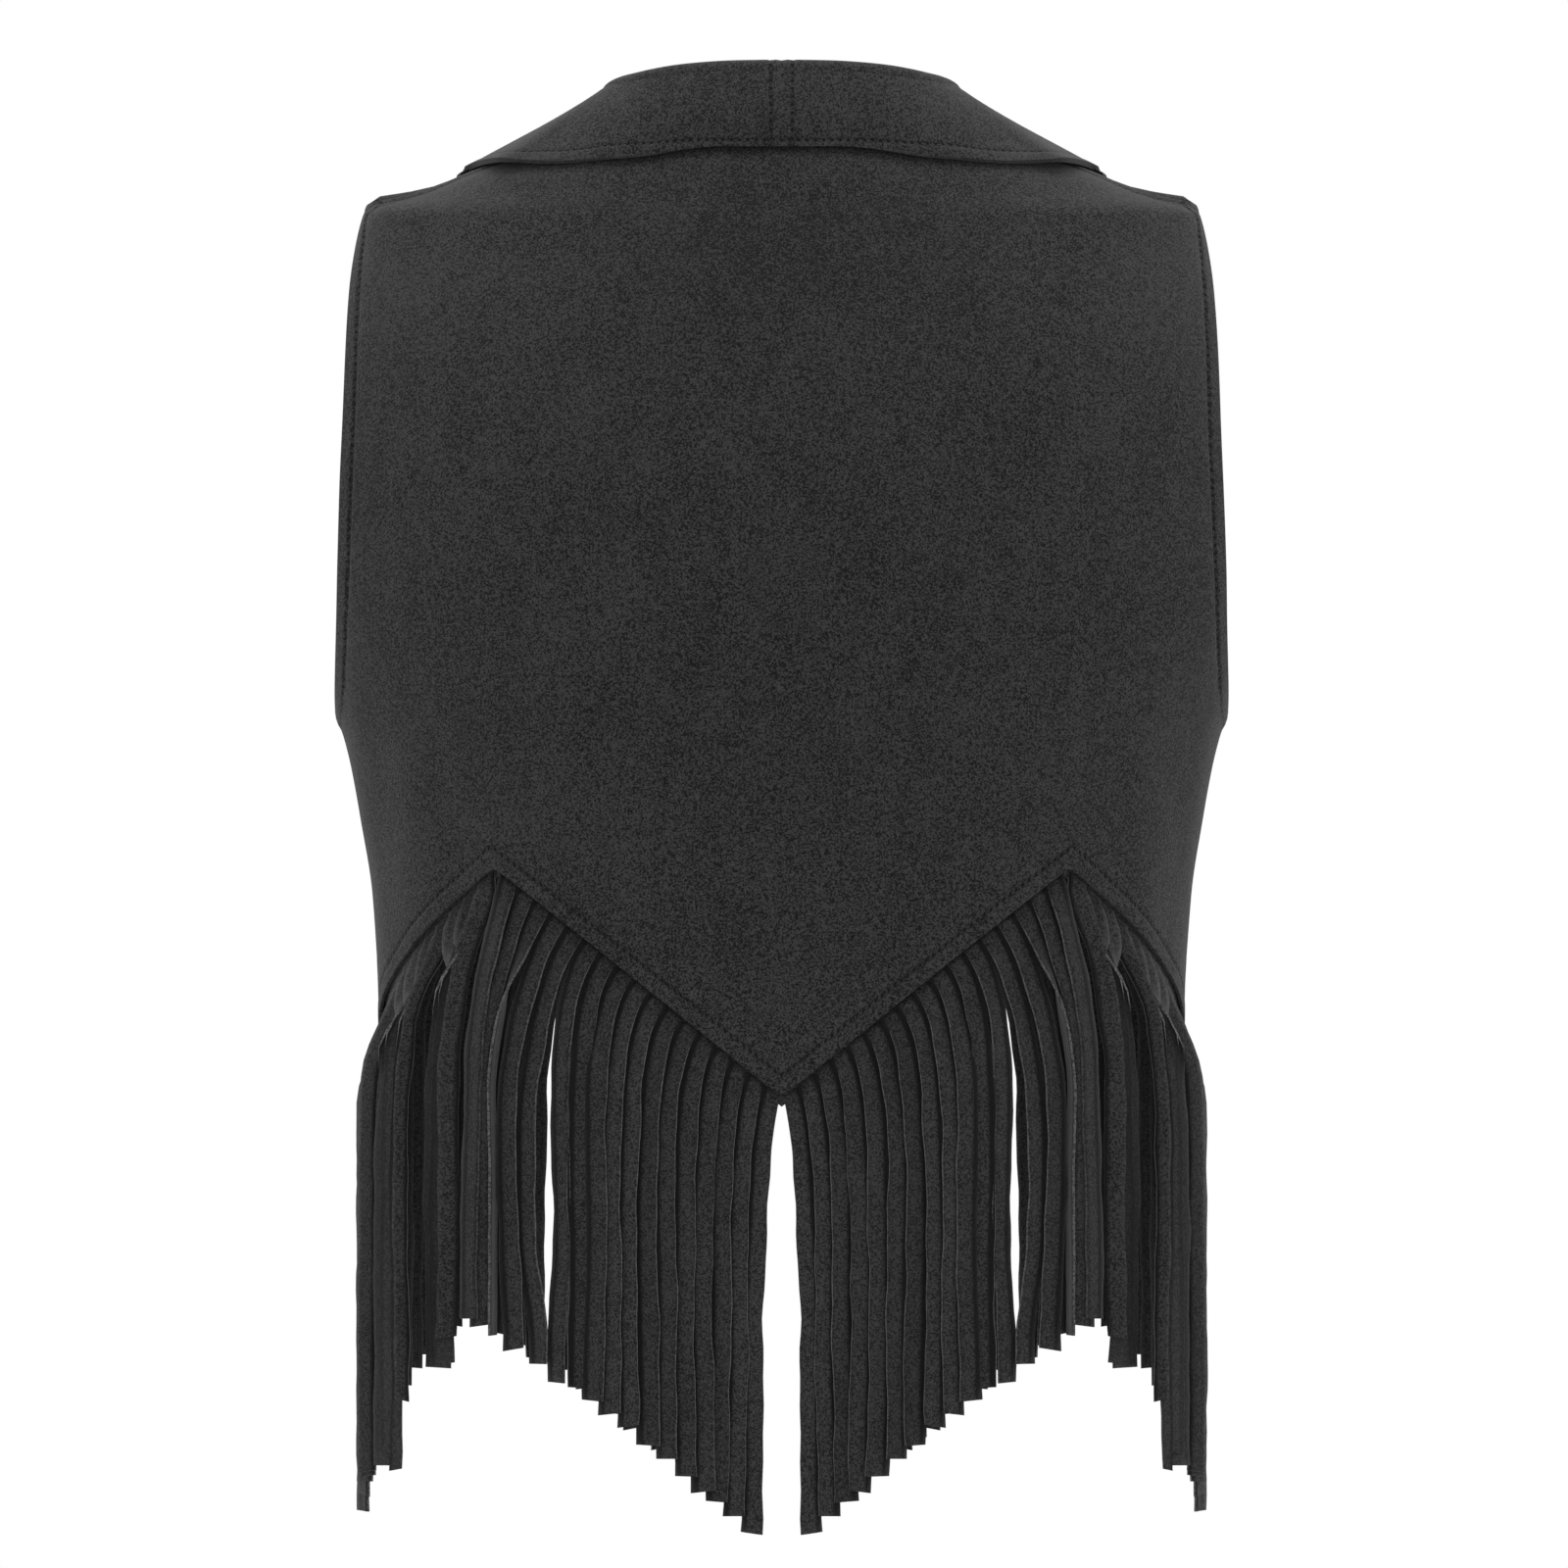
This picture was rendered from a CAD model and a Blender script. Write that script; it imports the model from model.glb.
import math

import bmesh
import bpy
import numpy as np
from mathutils import Matrix, Vector


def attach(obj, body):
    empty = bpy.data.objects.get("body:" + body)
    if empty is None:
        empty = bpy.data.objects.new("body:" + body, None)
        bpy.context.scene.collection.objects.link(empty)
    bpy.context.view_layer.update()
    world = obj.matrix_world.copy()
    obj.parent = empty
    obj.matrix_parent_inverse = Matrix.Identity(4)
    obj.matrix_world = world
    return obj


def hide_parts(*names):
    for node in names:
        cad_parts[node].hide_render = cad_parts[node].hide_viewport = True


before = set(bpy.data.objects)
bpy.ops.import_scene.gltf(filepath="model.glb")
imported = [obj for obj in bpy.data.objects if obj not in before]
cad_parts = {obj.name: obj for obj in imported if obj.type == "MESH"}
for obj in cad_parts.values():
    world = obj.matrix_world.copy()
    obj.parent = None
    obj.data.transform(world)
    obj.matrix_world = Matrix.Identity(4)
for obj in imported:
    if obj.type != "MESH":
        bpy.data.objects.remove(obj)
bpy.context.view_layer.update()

# Camera, light and floor: a level camera far behind the back, as in the photo, white all round,
# a soft box low at each side to lift the flanks, one overhead for the shoulders, and a pale floor
# under it all.
VIEW_MIDDLE = Vector((0.001, -0.05, -0.25))
VIEW_DISTANCE = 10
VIEW_WIDTH = 0.672
FLOOR_Z = -0.74
scene = bpy.context.scene
scene.view_settings.view_transform = "Standard"
eye = bpy.data.objects.new("camera", bpy.data.cameras.new("camera"))
eye.location = VIEW_MIDDLE - Vector((0, VIEW_DISTANCE, 0))
eye.rotation_euler = (math.radians(90), 0, 0)
eye.data.sensor_width = 36
eye.data.lens = eye.data.sensor_width * VIEW_DISTANCE / VIEW_WIDTH
eye.data.clip_end = 60
scene.collection.objects.link(eye)
scene.camera = eye

world = bpy.data.worlds.new("studio")
world.use_nodes = True
world.node_tree.nodes["Background"].inputs["Color"].default_value = (1, 1, 1, 1)
scene.world = world

for name, place, size, watts in (
    ("side_box_right", (1.6, 0.3, -0.15), (0.9, 1.6), 4),
    ("side_box_left", (-1.6, 0.3, -0.15), (0.9, 1.6), 4),
    ("top_box", (0, -0.3, 1.6), (1.4, 1.0), 16),
):
    lamp = bpy.data.lights.new(name, "AREA")
    lamp.shape = "RECTANGLE"
    lamp.size, lamp.size_y = size
    lamp.energy = watts
    light = bpy.data.objects.new(name, lamp)
    light.location = place
    aim = Vector((0, -0.05, -0.2)) - light.location
    light.rotation_euler = aim.to_track_quat("-Z", "Y").to_euler()
    scene.collection.objects.link(light)


# Adds one node to a material, with its settings and its links or values.
def node(tree, kind, settings=(), **inputs):
    made = tree.nodes.new("ShaderNode" + kind)
    for key, value in dict(settings).items():
        setattr(made, key, value)
    for key, value in inputs.items():
        socket = made.inputs[int(key[1:])] if key[1:].isdigit() else made.inputs[key.replace("_", " ")]
        if isinstance(value, bpy.types.NodeSocket):
            tree.links.new(value, socket)
        else:
            socket.default_value = value
    return made


# One colour turning into another as a factor goes from 0 to 1.
def blend(tree, factor, first, second):
    return node(tree, "Mix", {"data_type": "RGBA"}, _0=factor, _6=first, _7=second).outputs[2]


# Linear colour from an sRGB hex.
def colour(text):
    parts = [int(text[i:i + 2], 16) / 255 for i in (0, 2, 4)]
    return [p / 12.92 if p <= 0.04045 else ((p + 0.055) / 1.055) ** 2.4 for p in parts] + [1]


def mesh_object(name, mesh):
    made = bpy.data.objects.new(name, mesh)
    scene.collection.objects.link(made)
    return made


bm = bmesh.new()
bmesh.ops.create_grid(bm, x_segments=8, y_segments=8, size=1.0)
bmesh.ops.translate(bm, verts=bm.verts, vec=(0, 0, FLOOR_Z))
floor_mesh = bpy.data.meshes.new("floor")
bm.to_mesh(floor_mesh)
bm.free()
floor = mesh_object("floor", floor_mesh)
paint = bpy.data.materials.new("floor_paint")
paint.use_nodes = True
shader = paint.node_tree.nodes["Principled BSDF"]
shader.inputs["Roughness"].default_value = 0.8
grain = node(paint.node_tree, "TexNoise", Scale=9.0, Detail=2.0)
tone = blend(paint.node_tree, grain.outputs[0], colour("f0efed"), colour("f7f6f5"))
paint.node_tree.links.new(tone, shader.inputs["Base Color"])
floor_mesh.materials.append(paint)

# Back: one piece of charcoal-black faux suede from the shoulder seams to the zigzag hem, turned in
# and topstitched along the armholes and the hem, and filled out as if worn.
MM = 0.001
# Sizes in mm, heights from the shoulder tips
PANEL_WALL = 1.6
PANEL_ROUND = 0.5
BACK_HALF_WIDTH = 245
HEM_EASE = 1.3
NECK_BACK_Z = 33
NECK_POINT_Z = 37.5
SHOULDER_TIP_Z = -5
CREST_HEIGHT = 3
CREST_TIP_RISE = 2.4
CREST_Y = 3
CREST_HALF = 7
CREST_FADE_Z = -30
UNDERARM_Z = -219
HEM_POINT_Z = -384
HEM_PEAK_Z = -286
HEM_SIDE_Z = -358
HEM_PEAK_X = 123
HEM_SLANT = 0.79
HEM_BAND = 7.4
ARMHOLE_BAND = 8
HEM_BAND_FADE = (6.3, 8.3)
ARMHOLE_BAND_FADE = (6.8, 9)
BAND_LIFT = 0.4
STITCH_TROUGH = 0.62
STITCH_TROUGH_HALF = 0.85
SEAM_LAP = 0.4
SEAM_TROUGH = 0.45
SEAM_TROUGH_HALF = 1.3
STITCH = 3.5
ARMHOLE_STEPS = 320
BLOCK = 4096
FINE_BAND = 12
# z, edge x, edge y, base y, centre y, roundness of the level ring
BACK_RINGS = [
    (-400, 173, 0, 0, -98, 2.3), (-366, 173, 0, 0, -96, 2.3), (-334, 174, 0, 0, -95, 2.3),
    (-297, 176, 0, 0, -98, 2.3), (-263, 181, 0, 0, -102, 2.3), (-243, 185, 0, 0, -105, 2.3),
    (-230, 188.5, 0, 0, -107, 2.3), (-219, 191.9, 0, 0, -109, 2.3), (-216, 191.8, -15, 0, -109.5, 2.3),
    (-210, 191.7, -26, 0, -110, 2.3), (-200, 191.4, -36, 0, -111, 2.3), (-180, 190.8, -45, 0, -112, 2.3),
    (-155, 190.3, -50, 0, -112, 2.3), (-123, 189.3, -50, 0, -110, 2.3), (-98, 188.3, -47, -1, -106, 2.3),
    (-65, 187, -38, -3, -98, 2.3), (-38, 185.5, -26, -5, -88, 2.2), (-22, 183.6, -16, -6, -80, 2.1),
    (-5, 179.3, -6, -6, -71, 2), (-2, 175.3, -6, -6, -69, 1.95), (2, 158.2, -6, -6, -67, 1.9),
    (5.9, 147.7, -6, -6, -65, 1.9), (9.7, 139.3, -6, -6, -63, 1.9), (15, 126, -6, -6, -60, 1.9),
    (21, 110, -6, -6, -56, 1.9), (26, 99.5, -6, -6, -52, 1.95), (33, 85, -6, -6, -47, 2),
    (37.5, 78, -6, -6, -44, 2),
]


def smoothstep(low, high, value):
    t = np.clip((value - low) / (high - low), 0, 1)
    return t * t * (3 - 2 * t)


# Every column of a table at the wanted values of its first, on a cubic that never swings past a row.
def table_at(table, wanted):
    table = np.asarray(table, float)
    x, y = table[:, 0], table[:, 1:]
    span = np.diff(x)[:, None]
    rise = np.diff(y, axis=0) / span
    same_way = rise[:-1] * rise[1:] > 0
    slope = np.zeros_like(y)
    total = np.where(same_way, rise[:-1] + rise[1:], 1)
    slope[1:-1] = np.where(same_way, 2 * rise[:-1] * rise[1:] / total, 0)
    wanted = np.clip(wanted, x[0], x[-1])
    i = np.clip(np.searchsorted(x, wanted, "right") - 1, 0, len(x) - 2)
    t = ((wanted - x[i]) / span[i, 0])[:, None]
    t2, t3 = t * t, t ** 3
    return ((2 * t3 - 3 * t2 + 1) * y[i] + (t3 - 2 * t2 + t) * slope[i] * span[i]
            + (3 * t2 - 2 * t3) * y[i + 1] + (t3 - t2) * slope[i + 1] * span[i])


# Points along the level rings at some heights, and how far along its ring each one lies.
def ring_walks(rings, z):
    rows = table_at(rings, z)
    edge_x, edge_y, base_y, centre_y, power = (rows[:, i:i + 1] for i in range(5))
    inner_x = rows[:, 5:6] if rows.shape[1] > 5 else 0
    deep = np.abs((edge_y - base_y) / (centre_y - base_y))
    full = edge_x / (1 - deep ** power) ** (1 / power)
    x = inner_x + (edge_x - inner_x) * np.sin(np.linspace(0, np.pi / 2, 161))
    y = base_y + (centre_y - base_y) * (1 - np.minimum(1, x / full) ** power) ** (1 / power)
    run = np.zeros_like(x)
    run[:, 1:] = np.cumsum(np.hypot(np.diff(x), np.diff(y)), axis=1)
    return x, y, run


# Points of a panel's outside in mm: share runs along the level ring to the cloth's edge.
def on_form(rings, share, z):
    share, z = np.broadcast_arrays(np.atleast_1d(share).astype(float), np.atleast_1d(z).astype(float))
    found = np.empty((len(z), 3))
    for first in range(0, len(z), BLOCK):
        some = slice(first, first + BLOCK)
        x, y, run = ring_walks(rings, z[some])
        wanted = np.clip(np.abs(share[some]), 0, 1) * run[:, -1]
        i = np.clip((run < wanted[:, None]).sum(axis=1), 1, run.shape[1] - 1)
        row = np.arange(len(i))
        before = run[row, i - 1]
        t = (wanted - before) / np.maximum(run[row, i] - before, 1e-9)
        found[some, 0] = x[row, i - 1] + (x[row, i] - x[row, i - 1]) * t
        found[some, 1] = y[row, i - 1] + (y[row, i] - y[row, i - 1]) * t
    crest = CREST_HEIGHT + CREST_TIP_RISE * smoothstep(140, 178, found[:, 0])
    near = np.exp(-((found[:, 1] - CREST_Y) / CREST_HALF) ** 2)
    found[:, 2] = z + crest * near * smoothstep(CREST_FADE_Z, SHOULDER_TIP_Z, z)
    found[:, 0] *= np.where(share < 0, -1, 1)
    return found


# The outward normal there.
def form_normal(rings, share, z):
    share, z = np.broadcast_arrays(np.atleast_1d(share).astype(float), np.atleast_1d(z).astype(float))
    z = np.minimum(z, NECK_BACK_Z + 1)
    lowest = 0 if len(rings[0]) > 6 else -1
    before = on_form(rings, np.clip(share - 0.01, lowest, 1), z)
    along = on_form(rings, np.clip(share + 0.01, lowest, 1), z) - before
    up = on_form(rings, share, z + 1) - on_form(rings, share, z - 1)
    normal = np.cross(along, up)
    normal /= np.linalg.norm(normal, axis=1)[:, None]
    here = on_form(rings, share, z)
    inward = (normal[:, :2] * here[:, :2]).sum(axis=1) < 0
    normal[inward] *= -1
    return normal


# Length of the level ring from the panel's inner end to its edge.
def ring_length(rings, z):
    return ring_walks(rings, np.atleast_1d(z).astype(float))[2][:, -1]


# How far along the level ring the cloth reaches some x.
def share_of_x(rings, wanted, z):
    x, _, run = ring_walks(rings, np.array([float(z)]))
    return float(np.interp(wanted, x[0], run[0]) / run[0, -1])


# Height of a zigzag hem, with its corners eased by some mm.
def hem_height(share, peak, point_z, ease=0.0):
    s = np.abs(share)
    rising = point_z + (HEM_PEAK_Z - point_z) * s / peak
    falling = HEM_PEAK_Z + (HEM_SIDE_Z - HEM_PEAK_Z) * (s - peak) / (1 - peak)
    rising = point_z + np.sqrt((rising - point_z) ** 2 + ease ** 2) - 0.3 * ease
    return (rising + falling) / 2 - np.sqrt((rising - falling) ** 2 / 4 + ease ** 2) + 0.75 * ease


# Distance from each point to the nearest of some line's points, and which one that is.
def nearest_on(points, line):
    away = np.empty(len(points))
    which = np.empty(len(points), int)
    for first in range(0, len(points), BLOCK):
        some = slice(first, first + BLOCK)
        each = np.linalg.norm(points[some, None] - line[None], axis=2)
        which[some] = each.argmin(axis=1)
        away[some] = each.min(axis=1)
    return away, which


# Distance run along a zigzag hem from the panel's inner end.
def hem_run(share, peak, point_z, length):
    s = np.abs(share)
    inner = math.hypot(peak * length, HEM_PEAK_Z - point_z) * np.minimum(s, peak) / peak
    outer = math.hypot((1 - peak) * length, HEM_PEAK_Z - HEM_SIDE_Z) * np.maximum(0, s - peak) / (1 - peak)
    return np.where(share < 0, -1, 1) * (inner + outer)


# Soft troughs and ridges drawn by hand on a panel: each is a bent line with round ends.
def creases(points, rows):
    height = np.zeros(len(points))
    x, z = np.abs(points[:, 0]), points[:, 2]
    for x0, z0, x1, z1, bend, width, depth in rows:
        over, down = x1 - x0, z1 - z0
        along = np.clip(((x - x0) * over + (z - z0) * down) / (over ** 2 + down ** 2), 0, 1)
        from_x = x0 + over * along + bend * np.sin(np.pi * along)
        away = np.hypot(x - from_x, z - (z0 + down * along))
        fade = np.sin(np.pi * np.clip(along, 0.02, 0.98)) ** 0.6
        height += depth * fade * np.exp(-(away / width) ** 2)
    return height


# A grid of cells as a new mesh, and the column and row of each of its vertices.
def grid_mesh(name, columns, rows):
    bm = bmesh.new()
    bmesh.ops.create_grid(bm, x_segments=columns - 1, y_segments=rows - 1, size=0.5)
    mesh = bpy.data.meshes.new(name)
    bm.to_mesh(mesh)
    bm.free()
    flat = np.empty(len(mesh.vertices) * 3)
    mesh.vertices.foreach_get("co", flat)
    flat = flat.reshape(-1, 3)
    column = np.rint((flat[:, 0] + 0.5) * (columns - 1)).astype(int)
    row = np.rint((flat[:, 1] + 0.5) * (rows - 1)).astype(int)
    return mesh, column, row


# Moves a mesh's vertices to points in mm.
def place_vertices(mesh, points):
    mesh.vertices.foreach_set("co", (points * MM).ravel())
    mesh.update()
    mesh.shade_smooth()


# Steps from 0 to 1 that are fine near the wanted ends and even between them.
def steps(count, fine, length, fine_start, fine_end):
    band = FINE_BAND / length
    close = np.linspace(0, band, fine + 1)[:-1]
    low = close if fine_start else close[:0]
    high = 1 - close[::-1] if fine_end else close[:0]
    even = np.linspace(band if fine_start else 0, 1 - band if fine_end else 1, count)
    return np.concatenate([low, even, high])


back_peak = share_of_x(BACK_RINGS, HEM_PEAK_X, HEM_PEAK_Z)


# Row heights from the top edge down to the hem, finer beside both.
def row_heights(top, low):
    upper = np.linspace(0, 1, 15)[:-1]
    middle = (1 - np.cos(np.pi * np.linspace(0, 1, 85))) / 2 * 0.35 + np.linspace(0, 1, 85) * 0.65
    lower = steps(46, 11, 110, False, True)[1:]
    z = [top + (SHOULDER_TIP_Z - top) * t for t in upper]
    z += [np.full_like(top, SHOULDER_TIP_Z + (UNDERARM_Z - SHOULDER_TIP_Z) * t) for t in middle]
    z += [UNDERARM_Z + (low - UNDERARM_Z) * t for t in lower]
    return np.array(z)[::-1]


# The armhole's whole edge, back and front, as points in mm on the wearer's right.
def armhole_loop():
    t = (1 - np.cos(np.linspace(0, np.pi, ARMHOLE_STEPS))) / 2
    z = SHOULDER_TIP_Z + (UNDERARM_Z - SHOULDER_TIP_Z) * t
    behind = on_form(BACK_RINGS, np.ones_like(z), z)
    before = on_form(FRONT_RINGS, np.ones_like(z), z)[::-1]
    return np.concatenate([behind, before])


# The same columns for one front, then the x of its inner edge
FRONT_RINGS = [
    (-400, 173, 0, 0, 103, 2.3, 35), (-366, 173, 0, 0, 103, 2.3, 35), (-334, 174, 0, 0, 104, 2.3, 35),
    (-297, 176, 0, 0, 108, 2.3, 36), (-263, 181, 0, 0, 113, 2.3, 38), (-243, 185, 0, 0, 116, 2.3, 40),
    (-230, 188.5, 0, 0, 118, 2.3, 41), (-219, 191.9, 0, 0, 119, 2.3, 42),
    (-216, 191.5, 14, 0, 119.3, 2.3, 42.4), (-210, 190.6, 24, 0, 119.6, 2.3, 43),
    (-200, 189, 33, 0, 120, 2.3, 44.2), (-180, 185.6, 41, 0, 119, 2.3, 46.7),
    (-155, 182.5, 46, 0, 116, 2.3, 49.5), (-123, 180.3, 46, 0, 108, 2.3, 54), (-98, 179.5, 42, -1, 99, 2.3, 58),
    (-65, 180, 32, -3, 83, 2.3, 63), (-38, 181, 20, -5, 68, 2.2, 68), (-22, 181, 9, -6, 58, 2.1, 71),
    (-5, 179.3, -6, -6, 46, 2, 74), (-2, 175.3, -6, -6, 44, 2, 74.5), (2, 158.2, -6, -6, 42, 2, 75.3),
    (5.9, 147.7, -6, -6, 39, 2, 76), (9.7, 139.3, -6, -6, 36, 2, 76.7), (15, 126, -6, -6, 31, 2, 77.5),
    (21, 110, -6, -6, 26, 2, 78.2), (26, 99.5, -6, -6, 20, 2, 78.6), (33, 85, -6, -6, 10, 2, 78.6),
    (37.5, 78, -6, -6, 2, 2, 78),
]
armhole = armhole_loop()
armhole_run = np.concatenate([[0], np.cumsum(np.linalg.norm(np.diff(armhole, axis=0), axis=1))])


# How far a turned edge stands up and its line of stitches sinks in, by the distance from the edge.
def turned_edge(away, band, fade, trough):
    lift = BAND_LIFT * (1 - smoothstep(fade[0], fade[1], away))
    return lift - trough * np.exp(-((away - band) / STITCH_TROUGH_HALF) ** 2)


# A panel with its turned and stitched edges, seams and creases, in mm, and where its stitches run:
# each point's distance from the nearest line of stitches and its place along that line.
def panel_points(rings, share, z, peak, point_z, rows):
    points = on_form(rings, share, z)
    normal = form_normal(rings, share, z)
    mirrored = points * [[-1, 1, 1]]
    right = np.where(points[:, :1] < 0, mirrored, points)
    lift = creases(points, rows)
    along = np.arctan2(points[:, 1], points[:, 0]) * 150
    lift += 0.16 * np.sin(points[:, 2] / 17 + along / 31) * np.sin(along / 23 - points[:, 2] / 41 + 1)
    rise = (z - hem_height(share, peak, point_z)) * HEM_SLANT
    pucker = 0.22 * np.sin(along / 1.9) * np.sin(along / 5.3 + 2)
    lift += turned_edge(rise, HEM_BAND, HEM_BAND_FADE, STITCH_TROUGH + pucker)
    hole, which = nearest_on(right, armhole)
    pucker = 0.2 * np.sin(points[:, 2] / 1.9) * np.sin(points[:, 2] / 6.1)
    lift += turned_edge(hole, ARMHOLE_BAND, ARMHOLE_BAND_FADE, STITCH_TROUGH + pucker)
    side = (1 - np.abs(share)) * ring_length(rings, z)
    seamed = smoothstep(UNDERARM_Z + 2, UNDERARM_Z - 6, z)
    seamed += smoothstep(SHOULDER_TIP_Z - 1, SHOULDER_TIP_Z + 3, z)
    lift -= SEAM_TROUGH * np.exp(-(side / SEAM_TROUGH_HALF) ** 2) * seamed
    run = hem_run(share, peak, point_z, float(ring_length(rings, HEM_PEAK_Z)[0]))
    sewn = np.column_stack([rise - HEM_BAND, run])
    nearer = np.abs(hole - ARMHOLE_BAND) < np.abs(sewn[:, 0])
    sewn[nearer] = np.column_stack([hole - ARMHOLE_BAND, armhole_run[which]])[nearer]
    points = points + normal * lift[:, None]
    points[np.abs(share) == 1, 1] += SEAM_LAP / 2 if rings is BACK_RINGS else -SEAM_LAP / 2
    return points, sewn


# Keeps with each vertex its distance from the line of stitches, its place along it and how the nap lies.
def keep_surface(mesh, sewn, points, patches):
    x, z = np.abs(points[:, 0]), points[:, 2]
    lie = np.zeros(len(points))
    for x0, z0, wide, tall, much in patches:
        lie += much * np.exp(-((x - x0) / wide) ** 2 - ((z - z0) / tall) ** 2)
    for name, values in (("sew_off", sewn[:, 0]), ("sew_run", sewn[:, 1]), ("nap_lie", lie)):
        mesh.attributes.new(name, "FLOAT", "POINT").data.foreach_set("value", values.astype(np.float32))


# A value kept with the vertices.
def kept(tree, name):
    return node(tree, "Attribute", {"attribute_name": name}).outputs["Fac"]


def math_node(tree, operation, first, second=0.0, clamp=False):
    settings = {"operation": operation, "use_clamp": clamp}
    return node(tree, "Math", settings, _0=first, _1=second).outputs[0]


# A value taken from one range to another and held at its ends.
def ramp(tree, value, low, high, to_low, to_high):
    return node(tree, "MapRange", Value=value, From_Min=low, From_Max=high,
                To_Min=to_low, To_Max=to_high).outputs[0]


# Charcoal-black faux suede: a microfibre cloth brushed up into a short nap. It looks matte and
# mottled where the nap lies different ways, and a little paler where it is seen aslant.
def suede(name, dark, light, nap=1.0, sheen=0.08, sewn=False):
    material = bpy.data.materials.new(name)
    material.use_nodes = True
    tree = material.node_tree
    shader = tree.nodes["Principled BSDF"]
    place = node(tree, "TexCoord").outputs["Object"]
    grain = node(tree, "TexNoise", Vector=place, Scale=560.0, Detail=4.0, Roughness=0.7)
    clumps = node(tree, "TexNoise", Vector=place, Scale=170.0, Detail=3.0, Roughness=0.6)
    cloud = node(tree, "TexNoise", Vector=place, Scale=24.0, Detail=3.0, Roughness=0.55)
    stretched = node(tree, "Mapping", Vector=place, Scale=(90.0, 90.0, 18.0)).outputs[0]
    brushed = node(tree, "TexNoise", Vector=stretched, Scale=1.0, Detail=2.0, Roughness=0.5)
    fuzz = node(tree, "TexNoise", Vector=place, Scale=1250.0, Detail=1.5, Roughness=0.7)
    fine = node(tree, "Mix", Factor=0.7, _2=grain.outputs[0], _3=fuzz.outputs[0])
    both = node(tree, "Mix", Factor=0.07, _2=fine.outputs[0], _3=clumps.outputs[0])
    soft = node(tree, "Mix", Factor=0.05, _2=both.outputs[0], _3=cloud.outputs[0])
    tone = node(tree, "Mix", Factor=0.05, _2=soft.outputs[0], _3=brushed.outputs[0])
    spread = ramp(tree, tone.outputs[0], 0.44, 0.56, 0.0, 1.0)
    lie = math_node(tree, "ADD", spread, kept(tree, "nap_lie"), clamp=True)
    shown = blend(tree, lie, colour(dark), colour(light))
    height = node(tree, "Mix", Factor=0.45, _2=grain.outputs[0], _3=fuzz.outputs[0]).outputs[0]
    if sewn:
        off = math_node(tree, "ABSOLUTE", kept(tree, "sew_off"))
        run = math_node(tree, "PINGPONG", kept(tree, "sew_run"), STITCH / 2)
        near = ramp(tree, off, 0.5, 1.2, 1.0, 0.0)
        pierced = ramp(tree, run, 0.45, 0.95, 1.0, 0.0)
        groove = ramp(tree, off, 0.4, 1.5, 0.3, 0.0)
        hole = math_node(tree, "MULTIPLY", near, pierced)
        depth = math_node(tree, "MAXIMUM", hole, groove)
        shown = blend(tree, depth, shown, colour("060606"))
        height = math_node(tree, "SUBTRACT", height, depth)
    bump = node(tree, "Bump", Height=height, Strength=0.8 * nap, Distance=0.0007)
    tree.links.new(shown, shader.inputs["Base Color"])
    tree.links.new(bump.outputs[0], shader.inputs["Normal"])
    shader.inputs["Roughness"].default_value = 0.95
    shader.inputs["Specular IOR Level"].default_value = 0.16
    shader.inputs["Sheen Weight"].default_value = sheen
    shader.inputs["Sheen Roughness"].default_value = 0.55
    return material


nap_face = suede("faux_suede", "080808", "363636", sewn=True)
nap_back = suede("faux_suede_reverse", "0f0f0f", "1c1c1c", 0.5, 0.05)
nap_edge = suede("faux_suede_cut_edge", "262626", "565656", 0.8, 0.12)


# Gives a sheet its wall and its rounded, turned edges.
def finish_cloth(piece, wall, offset, round_edge):
    for material in (nap_face, nap_back, nap_face):
        piece.data.materials.append(material)
    thick = piece.modifiers.new("wall", "SOLIDIFY")
    thick.thickness = wall * MM
    thick.offset = offset
    thick.material_offset = 1
    thick.material_offset_rim = 2
    thick.use_quality_normals = True
    soft = piece.modifiers.new("turned_edge", "BEVEL")
    soft.width = round_edge * MM
    soft.segments = 2
    soft.limit_method = "ANGLE"
    soft.angle_limit = math.radians(60)
    soft.profile = 0.5
    soft.material = -1


# x and z where a crease begins and ends, its bend, width and height, in mm, on both sides alike
BACK_CREASES = [
    (182, -205, 174, -326, 2, 5.5, 0.9), (171, -214, 163, -345, 3, 7, -1.0),
    (158, -222, 151, -338, -2, 9, 0.7), (146, -232, 138, -300, 3, 8, -0.6),
    (184, -150, 181, -202, 1, 6, 0.5), (120, -196, 96, -262, 6, 14, -0.5),
    (60, -120, 78, -215, 5, 18, -0.45), (150, -60, 118, -96, -5, 13, -0.5),
    (34, -262, 52, -330, 3, 12, 0.4), (12, -70, 20, -150, 3, 16, 0.35),
]
# x and z of patches where the nap is brushed paler or darker, their half width and height and how much
BACK_NAP = [
    (0, -20, 95, 45, -0.22), (0, -150, 110, 130, -0.06), (160, -32, 45, 32, 0.1),
    (188, -110, 12, 110, -0.12), (182, -260, 16, 60, -0.1), (120, -250, 30, 60, 0.05),
    (128, 14, 26, 12, 0.12),
]
half = np.unique(np.concatenate([steps(62, 10, BACK_HALF_WIDTH, False, True), [back_peak]]))
back_shares = np.concatenate([-half[:0:-1], half])
heights = row_heights(NECK_BACK_Z + (NECK_POINT_Z - NECK_BACK_Z) * back_shares ** 2,
                      hem_height(back_shares, back_peak, HEM_POINT_Z, HEM_EASE))
mesh, column, row = grid_mesh("back_cloth", len(back_shares), len(heights))
share, z = back_shares[column], heights[row, column]
points, sewn = panel_points(BACK_RINGS, share, z, back_peak, HEM_POINT_Z, BACK_CREASES)
place_vertices(mesh, points)
keep_surface(mesh, sewn, points, BACK_NAP)
back_cloth = mesh_object("back_cloth", mesh)
finish_cloth(back_cloth, PANEL_WALL, -1, PANEL_ROUND)
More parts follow.
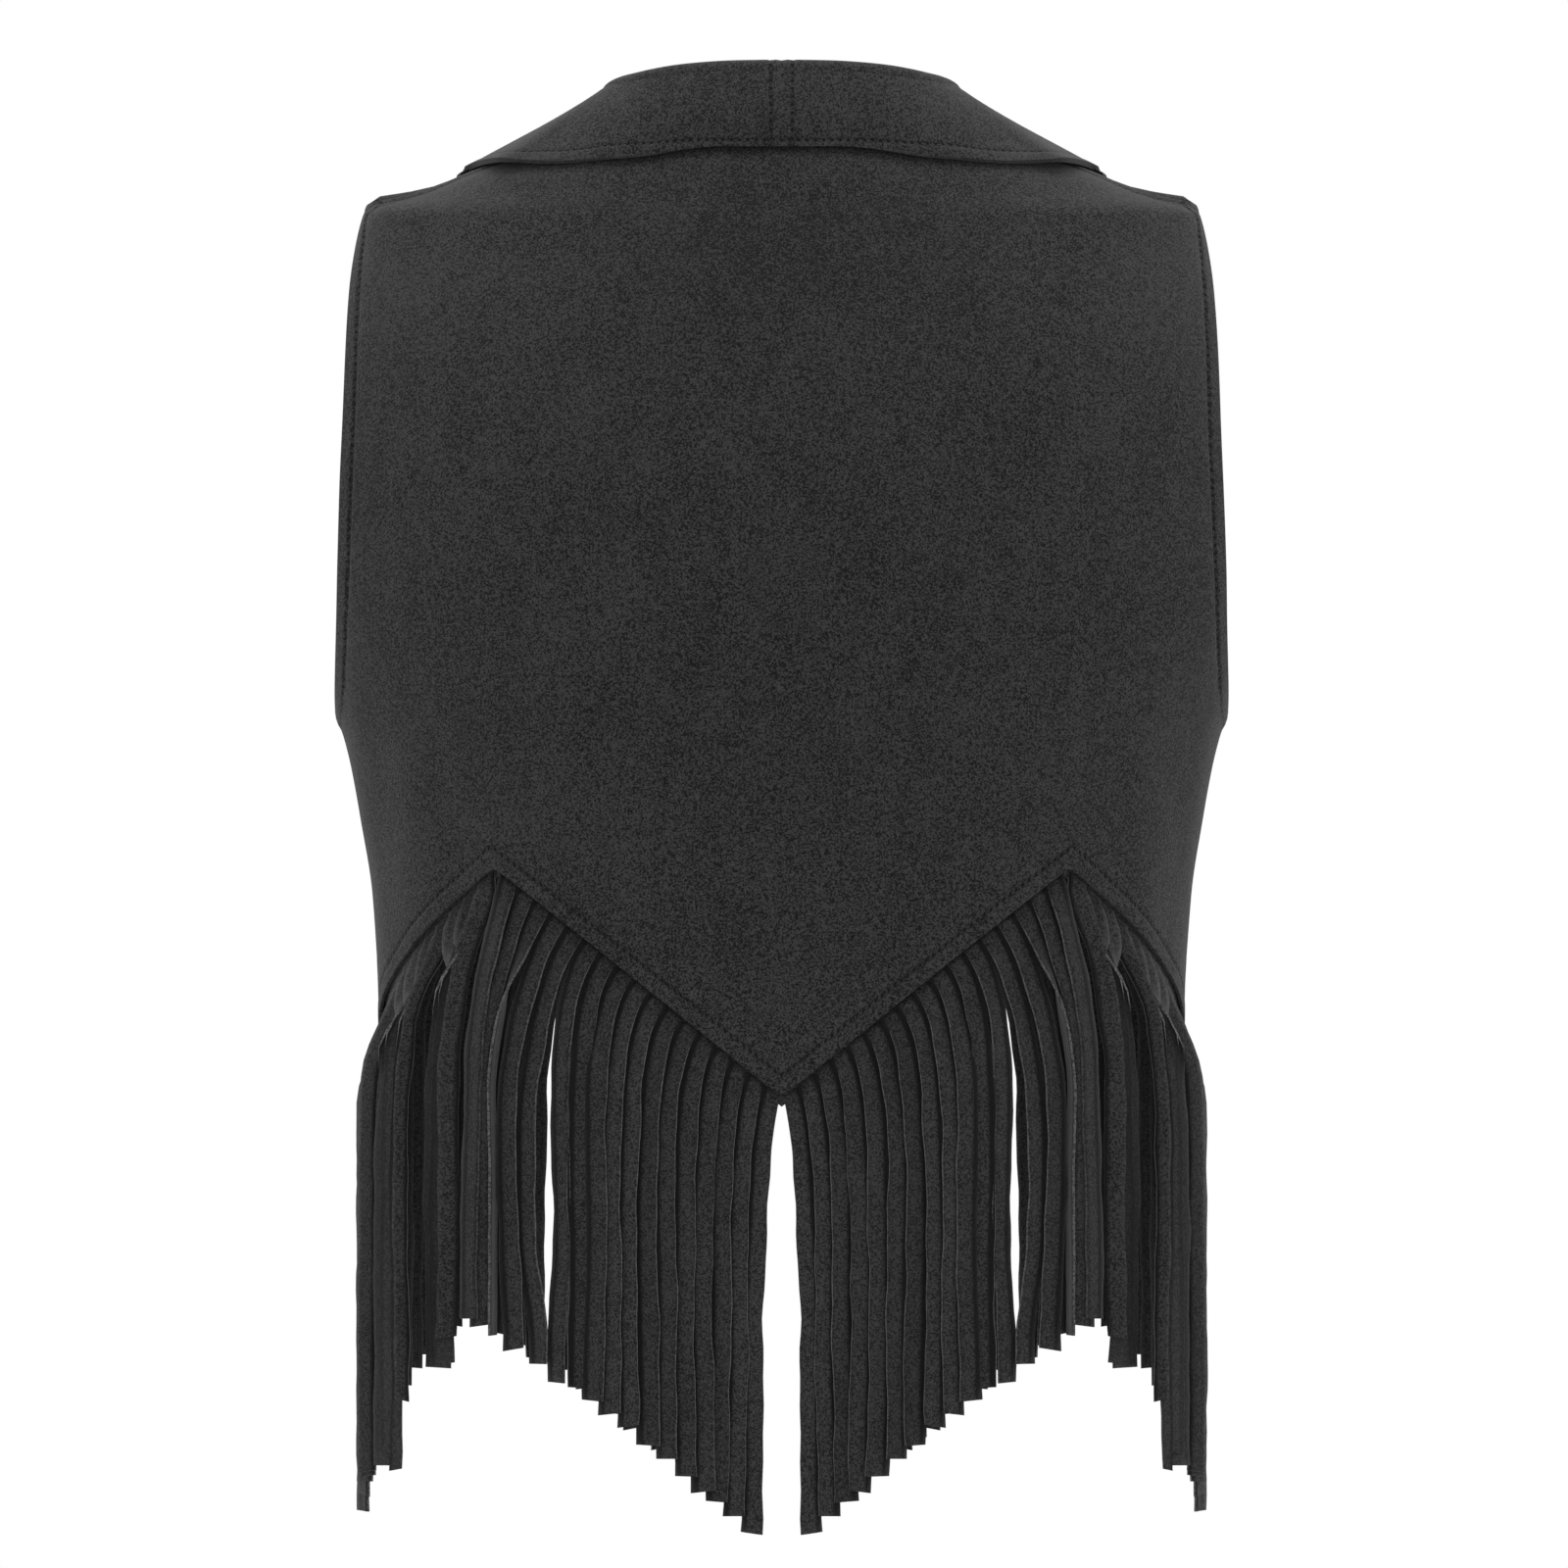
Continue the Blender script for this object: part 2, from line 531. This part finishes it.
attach(back_cloth, "root")
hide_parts("back")

# Fronts: two pieces of the same faux suede, open down the middle, with the same turned armholes
# and zigzag hem. The photo doesn't show them, so they are plain but for soft hanging creases.
FRONT_POINT_Z = -356
FRONT_WIDTH = 215
FRONT_TROUGH = 0.6
FRONT_BAND_TOP_Z = -80
FRONT_BAND_FULL_Z = -120
# The columns are the back's
FRONT_CREASES = [
    (170, -214, 161, -340, 2, 8, -0.9), (150, -226, 141, -318, -3, 10, 0.7),
    (118, -120, 92, -214, 6, 16, -0.7), (84, -206, 76, -322, 3, 11, 0.5),
    (160, -76, 128, -128, -5, 13, -0.6), (120, -252, 108, -292, 2, 9, -0.5),
]
FRONT_NAP = [(60, -150, 40, 70, -0.08), (150, -60, 40, 50, 0.08), (120, -230, 30, 50, 0.06)]
front_peak = share_of_x(FRONT_RINGS, HEM_PEAK_X, HEM_PEAK_Z)
front_shares = np.unique(np.concatenate([steps(58, 10, FRONT_WIDTH, True, True), [front_peak]]))
for name, side in (("front_right", 1), ("front_left", -1)):
    heights = row_heights(np.full_like(front_shares, NECK_POINT_Z),
                          hem_height(front_shares, front_peak, FRONT_POINT_Z, HEM_EASE))
    mesh, column, row = grid_mesh(name + "_cloth", len(front_shares), len(heights))
    share, z = front_shares[column], heights[row, column]
    points, sewn = panel_points(FRONT_RINGS, share, z, front_peak, FRONT_POINT_Z, FRONT_CREASES)
    inner = share * ring_length(FRONT_RINGS, z)
    nearer = (np.abs(inner - ARMHOLE_BAND) < np.abs(sewn[:, 0])) & (z < -100)
    sewn[nearer] = np.column_stack([inner - ARMHOLE_BAND, z])[nearer]
    normal = form_normal(FRONT_RINGS, share, z)
    lift = turned_edge(inner, ARMHOLE_BAND, ARMHOLE_BAND_FADE, FRONT_TROUGH)
    points += normal * (lift * smoothstep(FRONT_BAND_TOP_Z, FRONT_BAND_FULL_Z, z))[:, None]
    points[:, 0] *= side
    place_vertices(mesh, points)
    keep_surface(mesh, sewn, points, FRONT_NAP)
    if side == 1:
        mesh.flip_normals()
    bm = bmesh.new()
    bm.from_mesh(mesh)
    bmesh.ops.remove_doubles(bm, verts=bm.verts, dist=0.00001)
    bm.to_mesh(mesh)
    bm.free()
    cloth = mesh_object(name + "_cloth", mesh)
    finish_cloth(cloth, PANEL_WALL, -1, PANEL_ROUND)
    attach(cloth, "root")
    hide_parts(name)

# Collar: a shawl collar in two halves of doubled faux suede, seamed at the centre back. It stands
# up from the neck, rolls over and lies on the shoulders, then runs on down the fronts as lapels.
COLLAR_WALL = 2.4
COLLAR_ROUND = 0.8
COLLAR_OFF_SEAM = 1.6
ROLL_RADIUS = 3.4
COLLAR_BAND = 6
COLLAR_BAND_NARROWS = 3.6
COLLAR_TROUGH = 0.55
CENTRE_STITCH = 4.6
# step, seam x and z, roll x, y and z, edge x and z, belly, lift
COLLAR_ROWS = [
    (0, 0, 33, 0, -48, 59.3, 0, 23, 2, 0), (1, 20, 33.4, 22, -47, 59.2, 28, 23, 2, 0),
    (2, 42, 34.3, 44, -42, 57.7, 58, 18.6, 1.5, 0), (3, 62, 35.7, 61, -29, 54.4, 92, 15.2, 0, 0),
    (4, 75, 37, 71, -12, 51, 121, 12.2, -0.8, 3.8), (5, 78.2, 32, 72.5, 4, 46.5, 138.5, 3, 0.6, 6.8),
    (6, 78, 19, 71.5, 20, 33, 140, -16, 3, 1), (7, 76, 4, 68, 38, 13, 138, -42, 5, 0),
    (8, 70, -30, 61.5, 62, -20, 127, -76, 7, 0), (9, 61.8, -74, 53.5, 86, -66, 110, -118, 8, 0),
    (10, 54, -123, 46, 106, -116, 90, -162, 8, 0), (11, 47.4, -172, 40, 119, -168, 68, -206, 6, 0),
    (12, 42.5, -216, 35.5, 123, -214, 49, -242, 4, 0), (13, 39.6, -250, 33.5, 119, -249, 39, -266, 2, 0),
]
COLLAR_NAP = [(0, 45, 60, 30, 0.08), (125, 14, 32, 14, 0.55), (80, -140, 40, 60, 0.08)]


# The point of a panel's ring at some x and z, without the shoulder's crest.
def at_xz(rings, x, z):
    edge_x, edge_y, base_y, centre_y, power = table_at(rings, np.array([float(z)]))[0, :5]
    full = edge_x / (1 - abs((edge_y - base_y) / (centre_y - base_y)) ** power) ** (1 / power)
    y = base_y + (centre_y - base_y) * (1 - min(1, abs(x) / full) ** power) ** (1 / power)
    return np.array([x, y, z])


def unit(vector):
    return vector / np.linalg.norm(vector)


# One section of the collar, from its seam over the roll and down the fall to its edge.
def collar_section(along):
    rings = BACK_RINGS if along < 4.5 else FRONT_RINGS

    def roll_at(value):
        return table_at(COLLAR_ROWS, np.array([value]))[0, 2:5]

    row = table_at(COLLAR_ROWS, np.array([along]))[0]
    seam, edge, roll = at_xz(rings, row[0], row[1]), at_xz(rings, row[5], row[6]), row[2:5]
    tangent = unit(roll_at(along + 0.02) - roll_at(along - 0.02))
    rise = roll - seam
    up = unit(rise - tangent * (rise @ tangent))
    out = unit(np.cross(tangent, up))
    centre = roll - up * ROLL_RADIUS
    start = seam + up * COLLAR_OFF_SEAM
    turn = np.radians(np.linspace(-90, 90, 15))[:, None]
    arc = centre + out * ROLL_RADIUS * np.sin(turn) + up * ROLL_RADIUS * np.cos(turn)
    stand = start + (arc[0] - start) * np.linspace(0, 1, 12)[:-1, None]
    off = unit(np.cross(tangent, edge - arc[-1]))
    if off @ out < 0:
        off = -off
    end = edge + off * (COLLAR_WALL / 2 + 1)
    end[2] += row[8]
    fall = float(np.linalg.norm(end - arc[-1]))
    t = steps(26, 9, max(fall, 14), False, True)[1:, None]
    hang = arc[-1] + (end - arc[-1]) * t + off * row[7] * 4 * t * (1 - t)
    return np.concatenate([stand, arc, hang])


# A smooth curve through evenly spaced rows of points.
def through(rows, wanted):
    i = np.clip(np.floor(wanted).astype(int), 0, len(rows) - 2)
    t = (wanted - i)[:, None, None]
    padded = np.concatenate([[2 * rows[0] - rows[1]], rows, [2 * rows[-1] - rows[-2]]])
    a, b, c, d = padded[i], padded[i + 1], padded[i + 2], padded[i + 3]
    square = 2 * a - 5 * b + 4 * c - d
    cube = 3 * b - a - 3 * c + d
    return 0.5 * (2 * b + (c - a) * t + square * t ** 2 + cube * t ** 3)


half_steps = np.array([collar_section(step) for step in np.linspace(0, 13, 27)])
sections = through(half_steps, np.linspace(0, 26, 157))
across = np.gradient(sections, axis=1)
along = np.gradient(sections, axis=0)
collar_normal = np.cross(across, along)
collar_normal /= np.linalg.norm(collar_normal, axis=2)[:, :, None]
steps_across = np.linalg.norm(np.diff(sections, axis=1), axis=2)
from_edge = np.cumsum(steps_across[:, ::-1], axis=1)[:, ::-1]
from_edge = np.concatenate([from_edge, np.zeros((len(sections), 1))], axis=1)
steps_along = np.linalg.norm(np.diff(sections, axis=0), axis=2)
run_along = np.concatenate([np.zeros((1, sections.shape[1])), np.cumsum(steps_along, axis=0)])
from_centre = sections[:, :, 0]
behind = sections[:, :, 1] < 0
collar_band = COLLAR_BAND - COLLAR_BAND_NARROWS * (1 - smoothstep(18, 72, from_centre)) * behind
band = 0.35 * (1 - smoothstep(-1.1, 1, from_edge - collar_band))
trough = np.exp(-((from_edge - collar_band) / STITCH_TROUGH_HALF) ** 2)
wave = np.sin(run_along / 2.1) * np.sin(run_along / 6.7 + 1)
lift = band - (COLLAR_TROUGH + 0.18 * wave) * trough
lift += 0.25 * np.sin(run_along / 19 + from_edge / 15) * smoothstep(4, 16, from_edge)
lift -= 0.5 * np.exp(-(from_centre / 1.6) ** 2) * behind
lift -= 0.4 * np.exp(-((from_centre - CENTRE_STITCH) / 0.9) ** 2) * behind
collar_form = sections + collar_normal * lift[:, :, None]
collar_form[0, :, 0] = 0
sew_column = int(np.argmin(np.abs(from_edge[0] - COLLAR_BAND)))
sew_run = np.repeat(run_along[:, sew_column:sew_column + 1], run_along.shape[1], 1)
collar_sewn = np.stack([from_edge - collar_band, sew_run], axis=2)
by_centre = (np.abs(from_centre - CENTRE_STITCH) < np.abs(collar_sewn[:, :, 0])) & behind
collar_sewn[by_centre] = np.stack([from_centre - CENTRE_STITCH, from_edge], axis=2)[by_centre]
for name, side in (("collar_right", 1), ("collar_left", -1)):
    mesh, column, row = grid_mesh(name + "_cloth", collar_form.shape[1], collar_form.shape[0])
    points = collar_form[row, column] * [[side, 1, 1]]
    place_vertices(mesh, points)
    keep_surface(mesh, collar_sewn[row, column], points, COLLAR_NAP)
    if side == -1:
        mesh.flip_normals()
    cloth = mesh_object(name + "_cloth", mesh)
    finish_cloth(cloth, COLLAR_WALL, 0, COLLAR_ROUND)
    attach(cloth, "root")
    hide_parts(name)

# Fringe: strips of the same faux suede with an uncut heading sewn under each hem and cut strands
# that leave it squarely, turn down within 20 mm and hang overlapped, a few with the reverse outside.
FRINGE_WALL = 1.1
FRINGE_LENGTH = 193
FRINGE_TURN = 20
FRINGE_BEND = 15
FRINGE_FLARE = 10
FRINGE_FLARE_BY = 44
FRINGE_SWING_BY = 85
ROOT_DEPTH = PANEL_WALL + 0.7 + FRINGE_WALL / 2
ROOT_DROP = 0.6
HEADING_HEIGHT = 12
HEADING_LAP = 3.5
HEADING_SIDE_LAP = 5
STRAND_WIDTH = 9.7
STRAND_CUP = 0.45
LOUVRE = 18
LOUVRE_OUTER = 24
LOUVRE_VARIES = 4
WAVER = 7
TURN_OVER = (6, 52)
# Place of a root along the cloth from the centre, its strand's swing sideways and its extra length
BACK_SWING = [
    (0, 2, -4.5), (8, 1.7, -4.5), (37, 1.4, -6), (60, 1, -8.5), (70, 0.8, -9.5),
    (79, 0.6, -7), (87, 2.2, -3), (92.5, 9.8, -8.5), (113, 10.6, -7.5), (126, 11, -1),
    (137, 10.7, 8), (148, 10.3, 4), (156, 10.1, 14), (166, 9.5, 24), (180, 8.5, 25),
    (195, 5.5, 17), (205, 3, 13), (226, 0, 14),
]
FRONT_SWING = [
    (0, 0, -4), (49.5, 0, -4), (53.5, 6.8, -4), (82, 5.5, -4), (98, 5.5, -4),
    (150, 0, -4), (198, 0, -4),
]
# Place along the cloth, width, reach and top of the partings that draw strands aside
BACK_PARTINGS = [(89.8, -4.4, 9, -446), (125.9, 6, 8, -290), (151.8, 9, 11, -312), (184.2, 8, 11, -340)]
FRONT_PARTINGS = [(89.8, 4.6, 8, -290)]
# Place along the back's cloth, half turns, share of the width and extra length of the odd strands
ODD_STRANDS = [
    (78.7, -0.25, 1, 0), (108.3, 0.4, 0.95, 0), (139.8, 1, 1.05, 0), (148, 1, 1.05, 0),
    (156.2, 0, 0.6, 0), (164.4, 1, 0.55, 12), (172.6, 1, 1, 0), (180.8, 1, 1, 0),
]


# Repeatable unevenness between -1 and 1.
def uneven(number, kind):
    wave = math.sin(number * 12.9898 + kind * 78.233) * 43758.5453
    return 2 * (wave - math.floor(wave)) - 1


# Points of one strand, row by row from its root: it bends down, turns a little edge on and wavers.
# The seat is its root with the ways along the cloth and outward, and the slope is how far the
# strand and the hem there lean from level.
def strand_points(seat, slope, root_width, length, swing, along, side, partings, odd):
    root, tangent, outward = seat
    lean, climb = slope
    turns, narrow = odd
    number = round(along * 10)
    facing = 1 if climb > 0 else -1
    stops = np.concatenate([np.linspace(0, 30, 13)[:-1], np.linspace(30, length, 27)])
    walk = np.arange(0, length + 2, 1.0)
    slopes = lean * np.exp(-walk / FRINGE_BEND)
    beside = np.concatenate([[0], np.cumsum(np.sin(slopes))])[:len(walk)]
    drop = np.concatenate([[0], np.cumsum(np.cos(slopes))])[:len(walk)]
    here = lean * np.exp(-stops / FRINGE_BEND)
    here += (climb - here) * (1 - smoothstep(0, 11, stops))
    louvre = (LOUVRE_OUTER if climb < 0 else LOUVRE) + LOUVRE_VARIES * uneven(number, 2)
    turn = math.radians(louvre) * facing * smoothstep(0, FRINGE_TURN, stops)
    waver = math.radians(WAVER) * uneven(number, 4) * np.sin(stops / 34 + 3 * uneven(number, 5))
    turn += waver * smoothstep(20, 60, stops)
    drift = 1.5 * math.sin(along / 9.3 + 1) + 0.8 * math.sin(along / 23 + 2) + 0.4 * uneven(number, 3)
    sway = drift * (stops / length) ** 2
    turn += math.pi * turns * smoothstep(*TURN_OVER, stops)
    sway += 0.5 * np.sin(stops / 21 + 3 * uneven(number, 6)) * smoothstep(10, 50, stops)
    place = root + np.outer(np.interp(stops, walk, drop), [0, 0, -1])
    sway += swing * smoothstep(0, FRINGE_SWING_BY, stops)
    place += np.outer(np.interp(stops, walk, beside) + sway, tangent)
    place += np.outer(FRINGE_FLARE * smoothstep(0, FRINGE_FLARE_BY, stops), outward)
    for middle, width, reach, top in partings:
        away = along - middle
        begun = smoothstep(top, top - 40, place[:, 2])
        place += np.outer(np.sign(away) * width * math.exp(-abs(away) / reach) * begun, tangent)
    level = np.outer(np.cos(here), tangent) + np.outer(-np.sin(here), [0, 0, -1])
    across = level * np.cos(turn)[:, None] - np.outer(np.sin(turn), outward)
    through_wall = np.outer(np.cos(turn), outward) + level * np.sin(turn)[:, None]
    wanted = STRAND_WIDTH * narrow * (1 + 0.09 * uneven(number, 7))
    width = root_width + (wanted - root_width) * smoothstep(4, 30, stops)
    width = width * (1 + 0.035 * np.sin(stops / 6.1 + 3 * uneven(number, 8)) * smoothstep(10, 40, stops))
    w = np.linspace(-1, 1, 5) * side
    cup = STRAND_CUP * uneven(number, 9) * smoothstep(8, 50, stops)
    points = place[:, None] + across[:, None] * (w[None, :, None] * width[:, None, None] / 2)
    for end in (0, -1):
        wavy = 0.3 * np.sin(stops / 9 + 5 * uneven(number, 12 + end))
        wavy += 0.2 * np.sin(stops / 3.9 + 5 * uneven(number, 14 + end))
        points[:, end] += across * (wavy * smoothstep(8, 30, stops))[:, None]
    points += through_wall[:, None] * (cup[:, None] * (1 - w ** 2))[:, :, None]
    points[-1, :, 2] += 0.8 * uneven(number, 10) * w
    return points


# A fringe's heading and strands as one mesh; corners are share, height and margin along the hem.
def fringe_mesh(name, rings, corners, counts):
    behind = rings is BACK_RINGS
    partings = BACK_PARTINGS if behind else FRONT_PARTINGS
    swings = BACK_SWING if behind else FRONT_SWING
    length = float(ring_length(rings, HEM_PEAK_Z)[0])
    peaks = [corner for corner in corners if corner[1] == HEM_PEAK_Z]
    bm = bmesh.new()
    shade = bm.verts.layers.float.new("shade")
    tuck = bm.verts.layers.float.new("tuck")

    def add(points, tone, facing):
        down, across = points.shape[0] - 1, points.shape[1] - 1
        made = bmesh.ops.create_grid(bm, x_segments=across, y_segments=down, size=0.5)
        for vert in made["verts"]:
            c = round((vert.co.x + 0.5) * across)
            r = round((0.5 - vert.co.y) * down)
            vert.co = Vector(points[r, c] * MM)
            vert[shade] = tone
            vert[tuck] = facing * (2 * c / across - 1)

    for i, count in enumerate(counts):
        (s0, z0, m0), (s1, z1, m1) = corners[i], corners[i + 1]
        run = math.hypot((s1 - s0) * length, z1 - z0)
        t = np.linspace(0, 1, 3 * count + 1)
        rise = HEADING_HEIGHT * run / abs((s1 - s0) * length)
        rows = []
        for down in np.linspace(0, 1, 6):
            s = s0 + (s1 - s0) * t
            lap = HEADING_LAP + HEADING_SIDE_LAP * smoothstep(0.84, 0.96, np.abs(s))
            z = z0 + (z1 - z0) * t + rise - (rise + lap) * down
            depth = PANEL_WALL + FRINGE_WALL * (0.55 + 1.2 * down)
            rows.append(on_form(rings, s, z) - form_normal(rings, s, z) * depth)
        add(np.array(rows), 0.0, 0)
        climb = math.atan2(z1 - z0, (s1 - s0) * length)
        first, last = m0 / run, 1 - m1 / run
        for k in range(count):
            mid = first + (last - first) * (k + 0.5) / count
            s, z = s0 + (s1 - s0) * mid, z0 + (z1 - z0) * mid - ROOT_DROP
            side = 1 if s >= 0 else -1
            outward = form_normal(rings, s, z)[0]
            root = on_form(rings, s, z)[0] - outward * ROOT_DEPTH
            tangent = (on_form(rings, s + 0.01 * side, z) - on_form(rings, s - 0.01 * side, z))[0]
            outward[2] = tangent[2] = 0
            outward, tangent = unit(outward), unit(tangent)
            from_peak = min(math.hypot((peak[0] - s) * length, peak[1] - z) for peak in peaks)
            place = abs(s * length)
            lean = max(0, climb * side) * (0.45 + 0.55 * float(smoothstep(0, 34, from_peak)))
            swing, extra = table_at(swings, np.array([place]))[0]
            if behind:
                lean *= 0.5 + 0.5 * float(smoothstep(0, 60, place))
            number = round(place * 10)
            odd = [row[1:] for row in ODD_STRANDS if behind and abs(row[0] - place) < 3]
            turns, narrow, longer = odd[0] if odd else (0, 1, 0)
            width = (last - first) * run / count - 0.1
            long = FRINGE_LENGTH + extra + longer + 1.6 * uneven(number, 1)
            points = strand_points((root, tangent, outward), (lean, climb * side), width, long,
                                   swing, place, side, partings, (turns, narrow))
            add(points, uneven(number, 11), math.copysign(1 if climb * side > 0 else 0.6, climb))
    mesh = bpy.data.meshes.new(name)
    bm.normal_update()
    bm.to_mesh(mesh)
    bm.free()
    mesh.shade_smooth()
    return mesh


BACK_CORNERS = [(-0.997, HEM_SIDE_Z, 0.6), (-back_peak, HEM_PEAK_Z, 2), (0, HEM_POINT_Z, 1),
                (back_peak, HEM_PEAK_Z, 2), (0.997, HEM_SIDE_Z, 0.6)]
FRONT_CORNERS = [(0.003, FRONT_POINT_Z, 0.6), (front_peak, HEM_PEAK_Z, 2), (0.997, HEM_SIDE_Z, 0.6)]


# The nap face with each strand a little lighter or darker than the next, and dark where its edge
# goes under its neighbour.
def strand_material(name, dark, light):
    material = suede(name, dark, light, 1.0, 0.1)
    tree = material.node_tree
    shader = tree.nodes["Principled BSDF"]
    plain = shader.inputs["Base Color"].links[0].from_socket
    value = ramp(tree, kept(tree, "shade"), -1.0, 1.0, 0.84, 1.16)
    varied = node(tree, "HueSaturation", Value=value, Color=plain).outputs[0]
    under = ramp(tree, kept(tree, "tuck"), 0.22, 0.52, 0.0, 0.95)
    tree.links.new(blend(tree, under, varied, colour("020202")), shader.inputs["Base Color"])
    return material


strand_face = strand_material("faux_suede_strand", "0e0e0e", "323232")
strand_back = strand_material("faux_suede_strand_reverse", "202020", "343434")
for name, rings, corners, counts, side, flat in (
    ("fringe_back", BACK_RINGS, BACK_CORNERS, (12, 17, 17, 12), 1, (0.56, 0.203)),
    ("fringe_front_right", FRONT_RINGS, FRONT_CORNERS, (12, 12), 1, (0.26, 0.199)),
    ("fringe_front_left", FRONT_RINGS, FRONT_CORNERS, (12, 12), -1, (0.26, 0.199)),
):
    mesh = fringe_mesh(name + "_strands", rings, corners, counts)
    if side == -1:
        mesh.transform(Matrix.Diagonal((-1, 1, 1, 1)))
        mesh.flip_normals()
    fringe = mesh_object(name + "_strands", mesh)
    for material in (strand_face, strand_back, nap_edge):
        mesh.materials.append(material)
    thick = fringe.modifiers.new("wall", "SOLIDIFY")
    thick.thickness = FRINGE_WALL * MM
    thick.offset = 0
    thick.material_offset = 1
    thick.material_offset_rim = 2
    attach(fringe, "root")
    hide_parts(name)

# Topstitching: charcoal polyester thread in a lockstitch of about 3.5 mm, sunk into the nap along
# the hems, armholes, front edges and collar. Each stitch is a short thread between needle holes.
STITCH_LONG = 2.1
STITCH_THICK = 0.62
STITCH_SUNK = 0.12
THREAD_DEPTH = 0.45
FRONT_THREAD_DEPTH = 0.4
thread = bpy.data.materials.new("charcoal_polyester_thread")
thread.use_nodes = True
shader = thread.node_tree.nodes["Principled BSDF"]
place = node(thread.node_tree, "TexCoord").outputs["Object"]
twist = node(thread.node_tree, "TexNoise", Vector=place, Scale=1800.0, Detail=2.0)
shown = blend(thread.node_tree, twist.outputs[0], colour("101010"), colour("2a2a2a"))
thread.node_tree.links.new(shown, shader.inputs["Base Color"])
shader.inputs["Roughness"].default_value = 0.6
bm = bmesh.new()
bmesh.ops.create_uvsphere(bm, u_segments=6, v_segments=4, radius=1.0)
one_stitch = bpy.data.meshes.new("one_stitch")
bm.to_mesh(one_stitch)
bm.clear()


# The point of a line at some place along it.
def at_run(line, run, place):
    return np.array([np.interp(place, run, line[:, i]) for i in range(3)])


# Lays stitches along a line of points with their normals; run says where along it each one is.
def sew(line, normal, run):
    if run[-1] < run[0]:
        line, normal, run = line[::-1], normal[::-1], run[::-1]
    size = Matrix.Diagonal((STITCH_THICK / 2 * MM, STITCH_THICK / 2 * MM, STITCH_LONG / 2 * MM, 1))
    for middle in (np.arange(math.ceil(run[0] / STITCH), math.floor(run[-1] / STITCH)) + 0.5) * STITCH:
        start, end = at_run(line, run, middle - 1), at_run(line, run, middle + 1)
        up = unit(at_run(normal, run, middle))
        along = unit(end - start)
        across = unit(np.cross(up, along))
        centre = (start + end) / 2 - up * STITCH_SUNK
        turn = Matrix([across, unit(np.cross(along, across)), along]).transposed().to_4x4()
        laid = one_stitch.copy()
        laid.transform(Matrix.Translation(centre * MM) @ turn @ size)
        bm.from_mesh(laid)
        bpy.data.meshes.remove(laid)


# The same on both sides.
def sew_both(line, normal, run):
    sew(line, normal, run)
    sew(line * [[-1, 1, 1]], normal * [[-1, 1, 1]], run)


for rings, peak, point_z, inner, half_loop in (
    (BACK_RINGS, back_peak, HEM_POINT_Z, 0.004, slice(0, ARMHOLE_STEPS)),
    (FRONT_RINGS, front_peak, FRONT_POINT_Z, 0.05, slice(ARMHOLE_STEPS, 2 * ARMHOLE_STEPS)),
):
    share = np.linspace(inner, 0.99, 500)
    z = hem_height(share, peak, point_z) + HEM_BAND / HEM_SLANT
    normal = form_normal(rings, share, z)
    run = hem_run(share, peak, point_z, float(ring_length(rings, HEM_PEAK_Z)[0]))
    sew_both(on_form(rings, share, z) - normal * THREAD_DEPTH, normal, run)
    edge = armhole[half_loop]
    heading = np.gradient(edge, axis=0)
    heading /= np.linalg.norm(heading, axis=1)[:, None]
    outward = form_normal(rings, np.ones(ARMHOLE_STEPS), edge[:, 2])
    into = np.cross(outward, heading)
    into /= np.linalg.norm(into, axis=1)[:, None]
    to_cloth = on_form(rings, np.full(ARMHOLE_STEPS, 0.9), edge[:, 2] - 2) - edge
    into *= np.sign((into * to_cloth).sum(axis=1))[:, None]
    wanted = edge + into * ARMHOLE_BAND
    x, y, run = ring_walks(rings, wanted[:, 2])
    nearest = np.hypot(x - wanted[:, :1], y - wanted[:, 1:2]).argmin(axis=1)
    share = run[np.arange(ARMHOLE_STEPS), nearest] / run[:, -1]
    normal = form_normal(rings, share, wanted[:, 2])
    line = on_form(rings, share, wanted[:, 2]) - normal * THREAD_DEPTH
    sew_both(line, normal, armhole_run[half_loop])

z = np.linspace(-105, -338, 400)
share = ARMHOLE_BAND / ring_length(FRONT_RINGS, z)
normal = form_normal(FRONT_RINGS, share, z)
sew_both(on_form(FRONT_RINGS, share, z) - normal * FRONT_THREAD_DEPTH, normal, z)

outside = collar_form + collar_normal * (COLLAR_WALL / 2)
line = np.array([
    at_run(section[::-1], away[::-1], band_at)
    for section, away, band_at in zip(outside, from_edge, collar_band[:, sew_column])
])
normal = collar_normal[:, sew_column]
sew_both(line[4:-3], normal[4:-3], run_along[4:-3, sew_column])
stitched = mesh_object("topstitch_thread", bpy.data.meshes.new("topstitch_thread"))
bm.to_mesh(stitched.data)
bm.free()
bpy.data.meshes.remove(one_stitch)
stitched.data.shade_smooth()
stitched.data.materials.append(thread)
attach(stitched, "root")
